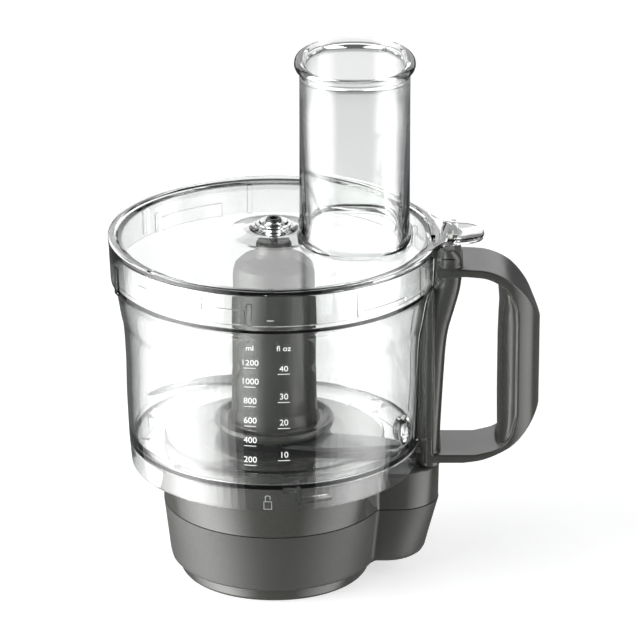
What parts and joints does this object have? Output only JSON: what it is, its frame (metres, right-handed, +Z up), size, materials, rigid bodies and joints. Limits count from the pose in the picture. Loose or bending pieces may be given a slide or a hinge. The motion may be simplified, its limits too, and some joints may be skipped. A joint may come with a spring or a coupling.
{
  "type": "food processor",
  "caption": "Food processor attachment: planetary drive base, clear bowl with a D handle, two-blade knife and clear locking lid with a feed tube.",
  "frame": {"origin": "middle of the part's footprint, on the surface that the foot ring stands on; the drive axis is 28 mm towards -X", "axes": "+Z up along the drive axis, +X towards the handle, +Y to the left of the handle seen from above with the handle pointing away"},
  "size_m": [0.239, 0.183, 0.3],
  "materials": {
    "gloss_grey": "glossy dark warm grey",
    "satin_grey": "satin fine-textured dark grey",
    "clear": "clear polished copolyester",
    "black": "semi-gloss black",
    "steel": "turned",
    "blade_steel": "ground and polished",
    "bronze": "sintered",
    "acetal": "natural acetal",
    "rubber": "moulded"
  },
  "bodies": {
    "base": {"foot_ring": "gloss_grey", "lower_housing": "satin_grey", "upper_housing": "gloss_grey", "case_screw_1": "steel", "case_screw_2": "steel", "case_screw_3": "steel", "gearbox_cup": "satin_grey", "gearbox_cover": "satin_grey", "gearbox_screw_1": "steel", "gearbox_screw_2": "steel", "gearbox_screw_3": "steel", "ring_gear": "acetal", "input_bearing": "bronze", "output_bearing": "bronze", "shaft_seal": "rubber"},
    "drive": {"planet_carrier": "steel", "drive_shaft": "steel", "planet_pin_1": "steel", "planet_pin_2": "steel", "planet_pin_3": "steel"},
    "input": {"input_coupling": "steel", "sun_gear": "steel"},
    "planet_1": {"planet_gear_1": "acetal"},
    "planet_2": {"planet_gear_2": "acetal"},
    "planet_3": {"planet_gear_3": "acetal"},
    "plunger": {"interlock_plunger": "acetal", "plunger_spring": "steel"},
    "bowl_bush": {"bowl_bush": "acetal"},
    "bowl": {"bowl": "clear", "handle": "gloss_grey", "handle_screw_1": "steel", "handle_screw_2": "steel"},
    "rod": {"interlock_rod": "acetal", "rod_spring": "steel"},
    "knife": {"knife_hub": "gloss_grey", "drive_socket": "acetal", "knife_top_pin": "steel", "lower_blade": "blade_steel", "upper_blade": "blade_steel"},
    "lid_bush": {"lid_bush": "black"},
    "lid": {"lid": "clear"}
  },
  "joints": [
    {"name": "drive_spin", "type": "hinge", "parent": "base", "child": "drive", "pos_m": [-0.028, 0, 0.042], "axis": [0, 0, 1], "continuous": true},
    {"name": "input_spin", "type": "hinge", "parent": "base", "child": "input", "pos_m": [-0.028, 0, 0.02], "axis": [0, 0, 1], "continuous": true},
    {"name": "planet_1_spin", "type": "hinge", "parent": "drive", "child": "planet_1", "pos_m": [-0.013, 0, 0.034], "axis": [0, 0, 1], "continuous": true},
    {"name": "planet_2_spin", "type": "hinge", "parent": "drive", "child": "planet_2", "pos_m": [-0.0355, 0.01299, 0.034], "axis": [0, 0, 1], "continuous": true},
    {"name": "planet_3_spin", "type": "hinge", "parent": "drive", "child": "planet_3", "pos_m": [-0.0355, -0.01299, 0.034], "axis": [0, 0, 1], "continuous": true},
    {"name": "plunger_slide", "type": "slide", "parent": "base", "child": "plunger", "axis": [0, 0, 1], "range_m": [0, 0.004], "deforming": ["plunger_spring"]},
    {"name": "bowl_lift", "type": "slide", "parent": "base", "child": "bowl_bush", "axis": [0, 0, 1], "range_m": [0, 0.13]},
    {"name": "bowl_turn", "type": "hinge", "parent": "bowl_bush", "child": "bowl", "pos_m": [-0.028, 0, 0.1], "axis": [0, 0, 1], "range_deg": [0, 25]},
    {"name": "rod_slide", "type": "slide", "parent": "bowl", "child": "rod", "axis": [0, 0, 1], "range_m": [0, 0.004], "deforming": ["rod_spring"]},
    {"name": "knife_spin", "type": "hinge", "parent": "bowl_bush", "child": "knife", "pos_m": [-0.028, 0, 0.12], "axis": [0, 0, 1], "continuous": true},
    {"name": "lid_lift", "type": "slide", "parent": "bowl", "child": "lid_bush", "axis": [0, 0, 1], "range_m": [0, 0.08]},
    {"name": "lid_turn", "type": "hinge", "parent": "lid_bush", "child": "lid", "pos_m": [-0.028, 0, 0.2], "axis": [0, 0, 1], "range_deg": [0, 25]}
  ],
  "couplings": [
    {"joint": "input_spin", "follows": "drive_spin", "ratio": 4},
    {"joint": "planet_1_spin", "follows": "drive_spin", "ratio": -3},
    {"joint": "planet_2_spin", "follows": "drive_spin", "ratio": -3},
    {"joint": "planet_3_spin", "follows": "drive_spin", "ratio": -3},
    {"joint": "knife_spin", "follows": "drive_spin", "ratio": 1},
    {"joint": "rod_slide", "follows": "lid_turn", "m_per_rad": 0.009167},
    {"joint": "plunger_slide", "follows": "lid_turn", "m_per_rad": 0.009167}
  ]
}
